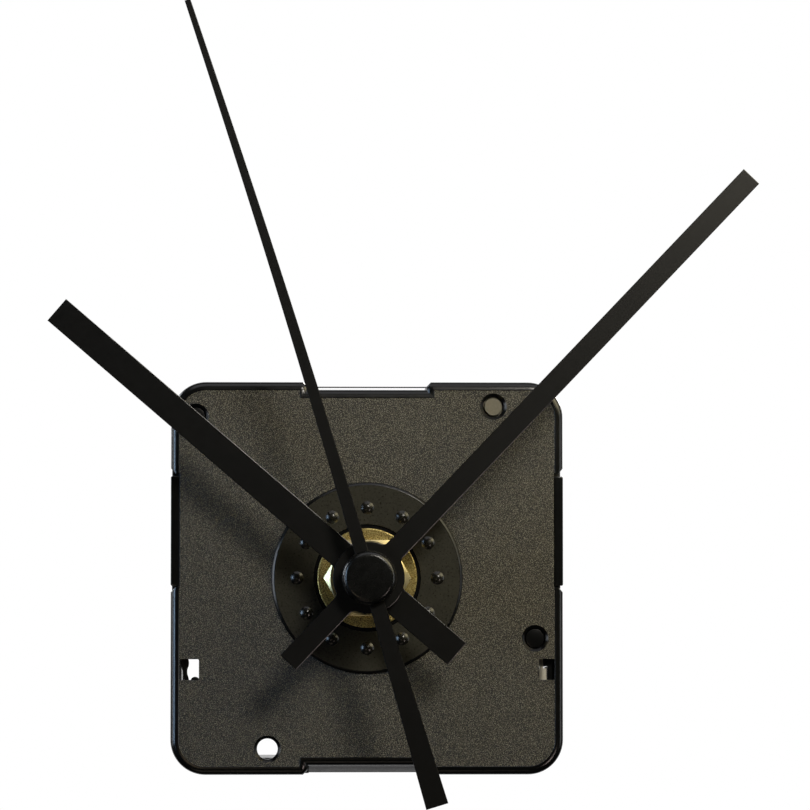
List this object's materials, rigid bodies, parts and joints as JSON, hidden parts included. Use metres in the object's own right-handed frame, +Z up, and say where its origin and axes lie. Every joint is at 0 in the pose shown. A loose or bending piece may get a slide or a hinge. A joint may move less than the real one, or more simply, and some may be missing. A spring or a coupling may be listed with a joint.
{
  "type": "quartz clock movement with hands",
  "caption": "Battery quartz clock movement with threaded bush, washer, nut and baton hands that turn through a working gear train.",
  "frame": {"origin": "on the shaft axis, in the plane of the raised round seat that the back of the dial rests on", "axes": "-Y along the shaft towards the viewer of the clock, +Z up at twelve o'clock, +X to the right"},
  "size_m": [0.1002, 0.0318, 0.1132],
  "materials": {
    "front_plastic": "fine spark-eroded texture, dark olive grey",
    "rear_plastic": "plain black moulding",
    "brass": "turned, slightly grainy",
    "bracket_plastic": "pale moulding",
    "gear_plastic": "natural white moulding",
    "black_plastic": "black moulding",
    "steel": "bright rolled strip",
    "magnet": "ground",
    "copper": "enamelled wire",
    "board": "brown laminate",
    "resin": "black drop of resin",
    "hand_paint": "matt black paint on thin sheet",
    "cap_paint": "gloss black paint"
  },
  "bodies": {
    "case": {"front_case": "front_plastic", "rear_case": "rear_plastic", "threaded_bush": "brass", "dial_washer": "brass", "dial_nut": "brass", "middle_plate": "bracket_plastic", "gear_bridge": "bracket_plastic", "circuit_board": "board", "quartz_crystal": "steel", "driver_chip": "resin", "coil_bobbin": "black_plastic", "coil_winding": "copper", "coil_core": "steel", "stator_plate": "steel", "battery_contact_positive": "steel", "battery_contact_negative": "steel"},
    "rotor": {"rotor_magnet": "magnet", "rotor_pinion": "gear_plastic"},
    "intermediate_set": {"intermediate_pinion": "gear_plastic", "intermediate_wheel": "gear_plastic"},
    "seconds_set": {"seconds_arbor": "steel", "seconds_wheel": "gear_plastic", "second_hand": "hand_paint", "second_hand_collet": "brass", "second_hand_cap": "cap_paint"},
    "third_set": {"third_pinion": "gear_plastic", "third_wheel": "gear_plastic"},
    "centre_set": {"centre_wheel": "gear_plastic"},
    "minute_set": {"minute_arbor": "brass", "clutch_spring": "steel", "minute_hand": "hand_paint"},
    "setting_set": {"motion_wheel": "gear_plastic", "setting_knob": "black_plastic"},
    "hour_set": {"hour_wheel": "black_plastic", "hour_hand": "hand_paint"}
  },
  "joints": [
    {"name": "second_hand_turn", "type": "hinge", "parent": "case", "child": "seconds_set", "pos_m": [0, 0, 0], "axis": [0, 1, 0], "continuous": true},
    {"name": "third_wheel_turn", "type": "hinge", "parent": "case", "child": "third_set", "pos_m": [0.00941, 0.008, 0], "axis": [0, 1, 0], "continuous": true},
    {"name": "centre_wheel_turn", "type": "hinge", "parent": "case", "child": "centre_set", "pos_m": [0, 0.0057, 0], "axis": [0, 1, 0], "continuous": true},
    {"name": "intermediate_turn", "type": "hinge", "parent": "case", "child": "intermediate_set", "pos_m": [0.00122, 0.01, 0.00689], "axis": [0, 1, 0], "continuous": true},
    {"name": "rotor_turn", "type": "hinge", "parent": "case", "child": "rotor", "pos_m": [0.00017, 0.01, 0.0128], "axis": [0, 1, 0], "continuous": true},
    {"name": "minute_hand_turn", "type": "hinge", "parent": "case", "child": "minute_set", "pos_m": [0, 0, 0], "axis": [0, 1, 0], "continuous": true},
    {"name": "setting_knob_turn", "type": "hinge", "parent": "case", "child": "setting_set", "pos_m": [-0.00866, 0.01, 0.005], "axis": [0, 1, 0], "continuous": true},
    {"name": "hour_hand_turn", "type": "hinge", "parent": "case", "child": "hour_set", "pos_m": [0, 0, 0], "axis": [0, 1, 0], "continuous": true}
  ],
  "couplings": [
    {"joint": "third_wheel_turn", "follows": "second_hand_turn", "ratio": -0.125},
    {"joint": "centre_wheel_turn", "follows": "second_hand_turn", "ratio": 0.016667},
    {"joint": "intermediate_turn", "follows": "second_hand_turn", "ratio": -6},
    {"joint": "rotor_turn", "follows": "second_hand_turn", "ratio": 30},
    {"joint": "setting_knob_turn", "follows": "minute_hand_turn", "ratio": -0.33333},
    {"joint": "hour_hand_turn", "follows": "minute_hand_turn", "ratio": 0.083333}
  ]
}
